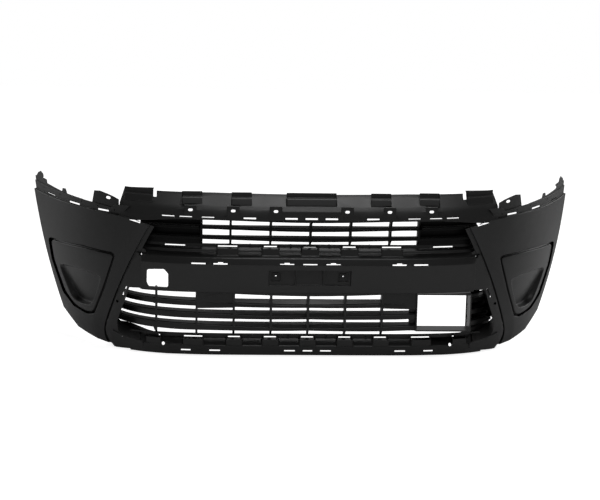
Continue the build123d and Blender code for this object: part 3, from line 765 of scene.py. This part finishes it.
def makeStrip(setup, side):
    spots = []
    for drop in (0, setup["height"]):
        for x, z in setup["topEdge"]:
            place = Vector((side * x, setup["front"] + slatWrap(x), z - drop))
            spots.append((place + crease) * millimetre)
    count = len(setup["topEdge"])
    faces = [(k, k + 1, count + k + 1, count + k)[::-side] for k in range(count - 1)]
    softEdge = {"BEVEL": {"width": setup["edgeRadius"] * millimetre, "segments": 2}}
    return sheetMesh("strip", spots, faces, setup["thickness"], softEdge)


for side, name in ((-1, "Left"), (1, "Right")):
    gusset = makeGusset(cornerGusset, side)
    addPiece("cornerGusset" + name, gusset, finishes[cornerGusset["finish"]], "panel_plastic")
    apron = makeStrip(cornerApron, side)
    addPiece("cornerApron" + name, apron, finishes[cornerApron["finish"]], "panel_plastic")
addPiece("sensorBaffle", makeStrip(sensorBaffle, 1), finishes[sensorBaffle["finish"]], "grille_plastic")
print("panel corners made")


# A Geometry Nodes tree with its sizes, given in millimetres, as inputs.
# Also returns the settings of the modifier that runs it.
def newTree(name, sizes):
    tree = bpy.data.node_groups.new(name, "GeometryNodeTree")
    tree.interface.new_socket("Geometry", in_out="INPUT", socket_type="NodeSocketGeometry")
    tree.interface.new_socket("Geometry", in_out="OUTPUT", socket_type="NodeSocketGeometry")
    settings = {"node_group": tree}
    for size, value in sizes.items():
        socket = tree.interface.new_socket(size, in_out="INPUT", socket_type="NodeSocketFloat")
        settings[socket.identifier] = value * millimetre
    return tree, addNode(tree, "NodeGroupInput").outputs, settings


# Puts one instance on each point, turned as the point says, and makes them real
def scatter(tree, points, shape, material):
    turn = addNode(tree, "GeometryNodeInputNamedAttribute", {"data_type": "FLOAT_VECTOR"}, Name="turn")
    copies = addNode(
        tree, "GeometryNodeInstanceOnPoints",
        Points=points, Instance=shape, Rotation=turn.outputs["Attribute"],
    )
    real = addNode(tree, "GeometryNodeRealizeInstances", Geometry=copies)
    dressed = addNode(tree, "GeometryNodeSetMaterial", Geometry=real, Material=material)
    addNode(tree, "NodeGroupOutput", _0=dressed)


# Pan head screw: the underside of its head is at the point and the head looks along z
panScrew = {
    "headRadius": 5.0,
    "headHeight": 2.4,
    "headSides": 40,
    "headRings": 5,
    "dome": 0.9,
    "recessRadius": 1.9,
    "recessDepth": 1.3,
    "recessSides": 6,
    "shankRadius": 2.0,
    "shankSides": 24,
    "tipLength": 1.6,
    "tipShare": 0.35,  # radius of the tip's end as a share of the shank's
    "threadPitch": 1.3,
    "threadSize": 0.32,
    "threadSteps": 20,  # in one turn
    "plainLength": 1,  # under the head
    "lengths": {"grille": 11, "flange": 6},
    "finish": "blackZincSteel",
}


def screwHead(tree, given, setup):
    height, radius = given["Head Height"], given["Head Radius"]
    blank = addNode(
        tree, "GeometryNodeMeshCylinder",
        Vertices=setup["headSides"], Fill_Segments=setup["headRings"], Radius=radius, Depth=height,
    )
    # The top falls away from the middle with the square of the distance
    where = addNode(tree, "GeometryNodeInputPosition")
    parts = addNode(tree, "ShaderNodeSeparateXYZ", Vector=where).outputs
    flat = addNode(tree, "ShaderNodeCombineXYZ", X=parts["X"], Y=parts["Y"])
    away = addNode(tree, "ShaderNodeVectorMath", {"operation": "LENGTH"}, _0=flat).outputs["Value"]
    share = addNode(tree, "ShaderNodeMath", {"operation": "DIVIDE"}, _0=away, _1=radius)
    square = addNode(tree, "ShaderNodeMath", {"operation": "POWER"}, _0=share, _1=2.0)
    fall = addNode(tree, "ShaderNodeMath", {"operation": "MULTIPLY"}, _0=square, _1=given["Dome"])
    isTop = addNode(tree, "ShaderNodeMath", {"operation": "GREATER_THAN"}, _0=parts["Z"], _1=0.0)
    topFall = addNode(tree, "ShaderNodeMath", {"operation": "MULTIPLY"}, _0=fall, _1=isTop)
    half = addNode(tree, "ShaderNodeMath", {"operation": "MULTIPLY"}, _0=height, _1=0.5)
    rise = addNode(tree, "ShaderNodeMath", {"operation": "SUBTRACT"}, _0=half, _1=topFall)
    shift = addNode(tree, "ShaderNodeCombineXYZ", Z=rise)
    domed = addNode(tree, "GeometryNodeSetPosition", Geometry=blank, Offset=shift)
    # The cutter stands half above the top, so it cuts to half its length
    long = addNode(tree, "ShaderNodeMath", {"operation": "MULTIPLY"}, _0=given["Recess Depth"], _1=2.0)
    cutter = addNode(
        tree, "GeometryNodeMeshCylinder",
        Vertices=setup["recessSides"], Radius=given["Recess Radius"], Depth=long,
    )
    top = addNode(tree, "ShaderNodeCombineXYZ", Z=height)
    raised = addNode(tree, "GeometryNodeTransform", Geometry=cutter, Translation=top)
    exactCut = {"operation": "DIFFERENCE", "solver": "EXACT"}
    return addNode(tree, "GeometryNodeMeshBoolean", exactCut, _0=domed, _1=raised)


def screwShank(tree, given, setup, length):
    radius, tipLength = given["Shank Radius"], given["Tip Length"]
    straight = addNode(tree, "ShaderNodeMath", {"operation": "SUBTRACT"}, _0=given["Length"], _1=tipLength)
    rod = addNode(
        tree, "GeometryNodeMeshCylinder", Vertices=setup["shankSides"], Radius=radius, Depth=straight,
    )
    narrow = addNode(tree, "ShaderNodeMath", {"operation": "MULTIPLY"}, _0=radius, _1=setup["tipShare"])
    tip = addNode(
        tree, "GeometryNodeMeshCone",
        Vertices=setup["shankSides"], Radius_Top=radius, Radius_Bottom=narrow, Depth=tipLength,
    )
    threaded = length - setup["tipLength"] - setup["plainLength"]
    spiral = addNode(
        tree, "GeometryNodeCurveSpiral",
        Resolution=setup["threadSteps"], Rotations=threaded / setup["threadPitch"],
        Start_Radius=radius, End_Radius=radius, Height=threaded * millimetre,
    )
    ridge = addNode(tree, "GeometryNodeCurvePrimitiveCircle", Resolution=3, Radius=given["Thread Size"])
    thread = addNode(tree, "GeometryNodeCurveToMesh", Curve=spiral, Profile_Curve=ridge, Fill_Caps=True)
    # The rod is made round its middle, while the tip and the thread stand on their feet
    moves = ((rod, straight, -0.5), (tip, given["Length"], -1.0), (thread, straight, -1.0))
    lowered = []
    for shape, distance, share in moves:
        drop = addNode(tree, "ShaderNodeMath", {"operation": "MULTIPLY"}, _0=distance, _1=share)
        shift = addNode(tree, "ShaderNodeCombineXYZ", Z=drop)
        lowered.append(addNode(tree, "GeometryNodeTransform", Geometry=shape, Translation=shift))
    return lowered


def makeScrewTree(setup, length):
    sizes = {
        "Head Radius": setup["headRadius"], "Head Height": setup["headHeight"], "Dome": setup["dome"],
        "Recess Radius": setup["recessRadius"], "Recess Depth": setup["recessDepth"],
        "Shank Radius": setup["shankRadius"], "Tip Length": setup["tipLength"],
        "Thread Size": setup["threadSize"], "Length": length,
    }
    tree, given, settings = newTree("panScrew", sizes)
    head = screwHead(tree, given, setup)
    shank = screwShank(tree, given, setup, length)
    whole = addNode(tree, "GeometryNodeJoinGeometry")
    for part in (head, *shank):
        tree.links.new(part.outputs[0], whole.inputs[0])
    scatter(tree, given["Geometry"], whole, finishes[setup["finish"]])
    return settings


# Spring clip: a bowed strip of sheet with a window and curled ends, its back looking along z
springClip = {
    "width": 16,
    "height": 14,
    "columns": 17,
    "rows": 21,
    "bow": 1.3,
    "waves": 1.5,  # over the height: the middle bows and both ends curl back
    "sheet": 0.7,
    "window": 0.24,  # share of the width and height, each way from the middle
    "mergeDistance": 0.01,
    "finish": "phosphatedSpringSteel",
}


def makeClipTree(setup):
    sizes = {name: setup[name.lower()] for name in ("Width", "Height", "Bow", "Sheet")}
    tree, given, settings = newTree("springClip", sizes)
    strip = addNode(
        tree, "GeometryNodeMeshGrid",
        Size_X=given["Width"], Size_Y=given["Height"], Vertices_X=setup["columns"], Vertices_Y=setup["rows"],
    )
    where = addNode(tree, "GeometryNodeInputPosition")
    parts = addNode(tree, "ShaderNodeSeparateXYZ", Vector=where).outputs
    # How far out each point is on either axis, as a share of that size
    out = {}
    near = []
    for axis, size in (("X", "Width"), ("Y", "Height")):
        share = addNode(tree, "ShaderNodeMath", {"operation": "DIVIDE"}, _0=parts[axis], _1=given[size])
        out[axis] = addNode(tree, "ShaderNodeMath", {"operation": "ABSOLUTE"}, _0=share)
        near.append(
            addNode(tree, "ShaderNodeMath", {"operation": "LESS_THAN"}, _0=out[axis], _1=setup["window"]),
        )
    window = addNode(tree, "FunctionNodeBooleanMath", {"operation": "AND"}, _0=near[0], _1=near[1])
    framed = addNode(tree, "GeometryNodeDeleteGeometry", {"domain": "FACE"}, Geometry=strip, Selection=window)
    turn = 2 * pi * setup["waves"]
    angle = addNode(tree, "ShaderNodeMath", {"operation": "MULTIPLY"}, _0=out["Y"], _1=turn)
    wave = addNode(tree, "ShaderNodeMath", {"operation": "COSINE"}, _0=angle)
    swing = addNode(tree, "ShaderNodeMath", {"operation": "MULTIPLY"}, _0=wave, _1=given["Bow"])
    rise = addNode(tree, "ShaderNodeMath", {"operation": "MULTIPLY"}, _0=swing, _1=-0.5)
    shift = addNode(tree, "ShaderNodeCombineXYZ", Z=rise)
    bowed = addNode(tree, "GeometryNodeSetPosition", Geometry=framed, Offset=shift)
    thick = addNode(
        tree, "GeometryNodeExtrudeMesh", Mesh=bowed, Offset_Scale=given["Sheet"], Individual=False,
    )
    under = addNode(tree, "GeometryNodeFlipFaces", Mesh=bowed)
    both = addNode(tree, "GeometryNodeJoinGeometry")
    for part in (thick, under):
        tree.links.new(part.outputs[0], both.inputs[0])
    merge = setup["mergeDistance"] * millimetre
    closed = addNode(tree, "GeometryNodeMergeByDistance", Geometry=both, Distance=merge)
    scatter(tree, given["Geometry"], closed, finishes[setup["finish"]])
    return settings


# The fasteners of each CAD node and their kind
fasteners = {
    "bracket_screws_left": "flange",
    "bracket_screws_right": "flange",
    "retainer_screws_left": "flange",
    "retainer_screws_right": "flange",
    "upper_grille_screws": "grille",
    "lower_grille_screws": "grille",
    "fog_blank_clips_left": "clip",
    "fog_blank_clips_right": "clip",
    "seam_clips_left": "clip",
    "seam_clips_right": "clip",
}
fastening = {
    "sameWay": 0.999,  # cosine above which two faces look the same way
    "endBand": 0.3,  # millimetres from an end within which a corner belongs to it
    "sharpAngle": 0.6,
}


# Groups the vertices of a mesh that hang together
def looseParts(work):
    seen = set()
    for first in work.verts:
        if first in seen:
            continue
        seen.add(first)
        part = [first]
        for vert in part:
            for edge in vert.link_edges:
                other = edge.other_vert(vert)
                if other not in seen:
                    seen.add(other)
                    part.append(other)
        yield part


# The direction that the most area of a part's flat faces looks along
def mainAxis(part):
    areas = []
    faces = dict.fromkeys(face for vert in part for face in vert.link_faces)
    for face in sorted(faces, key=lambda face: -face.calc_area()):
        for entry in areas:
            if abs(entry[0].dot(face.normal)) > fastening["sameWay"]:
                entry[1] += face.calc_area()
                break
        else:
            areas.append([face.normal.copy(), face.calc_area()])
    return max(areas, key=lambda entry: entry[1])[0]


# Which way along its axis a screw's head looks, and how far its top is: the head is the wider end
def headEnd(corners, up, axis, middle):
    ends = []
    for way in (-1, 1):
        end = max(way * c.dot(axis) for c in corners)
        ring = [c for c in corners if way * c.dot(axis) > end - fastening["endBand"] * millimetre]
        ends.append((max(abs(c.dot(up) - middle) for c in ring), way, end))
    width, way, end = max(ends)
    return way, end


# A mesh of bare points that carry the turn of each fastener.
# A clip's point is its middle, and a screw's is under its head.
def fastenerPoints(name, headHeight):
    work = bmesh.new()
    work.from_mesh(nodes[name].data)
    bmesh.ops.remove_doubles(work, verts=work.verts, dist=rounding["weld"] * millimetre)
    spots, turns = [], []
    for part in looseParts(work):
        corners = [vert.co for vert in part]
        axis = mainAxis(part)
        if axis.y < 0:
            axis = -axis
        side = Vector((0, 0, 1)).cross(axis).normalized()
        up = axis.cross(side)
        middle = []
        for direction in (side, up, axis):
            places = [c.dot(direction) for c in corners]
            middle.append((min(places) + max(places)) / 2)
        if headHeight:
            way, end = headEnd(corners, up, axis, middle[1])
            axis = way * axis
            side = way * side
            middle[0] = way * middle[0]
            middle[2] = end - headHeight * millimetre
        spots.append(side * middle[0] + up * middle[1] + axis * middle[2])
        turns.append(Matrix((side, up, axis)).transposed().to_euler())
    work.free()
    mesh = bpy.data.meshes.new(name)
    mesh.from_pydata(spots, [], [])
    turnData = mesh.attributes.new("turn", "FLOAT_VECTOR", "POINT").data
    for entry, turn in zip(turnData, turns):
        entry.vector = turn[:]
    return mesh


fastenerTrees = {kind: makeScrewTree(panScrew, length) for kind, length in panScrew["lengths"].items()}
fastenerTrees["clip"] = makeClipTree(springClip)
for name, kind in fasteners.items():
    setup = springClip if kind == "clip" else panScrew
    slotName = "spring_steel" if kind == "clip" else "screw_steel"
    mesh = finishedMesh(fastenerPoints(name, setup.get("headHeight")), {"NODES": fastenerTrees[kind]})
    mesh.shade_smooth()
    mesh.set_sharp_from_angle(angle=fastening["sharpAngle"])
    addPiece(camelName(name), mesh, finishes[setup["finish"]], slotName, name)
print("fasteners made:", len(fasteners))

cadFinishes = {"flange": "blackZincSteel", "grille": "blackZincSteel", "clip": "phosphatedSpringSteel"}
for name, obj in nodes.items():
    obj.data.materials.clear()
    obj.data.materials.append(finishes[cadFinishes.get(fasteners.get(name), "glassFilledNylon")])
print("CAD nodes dressed")
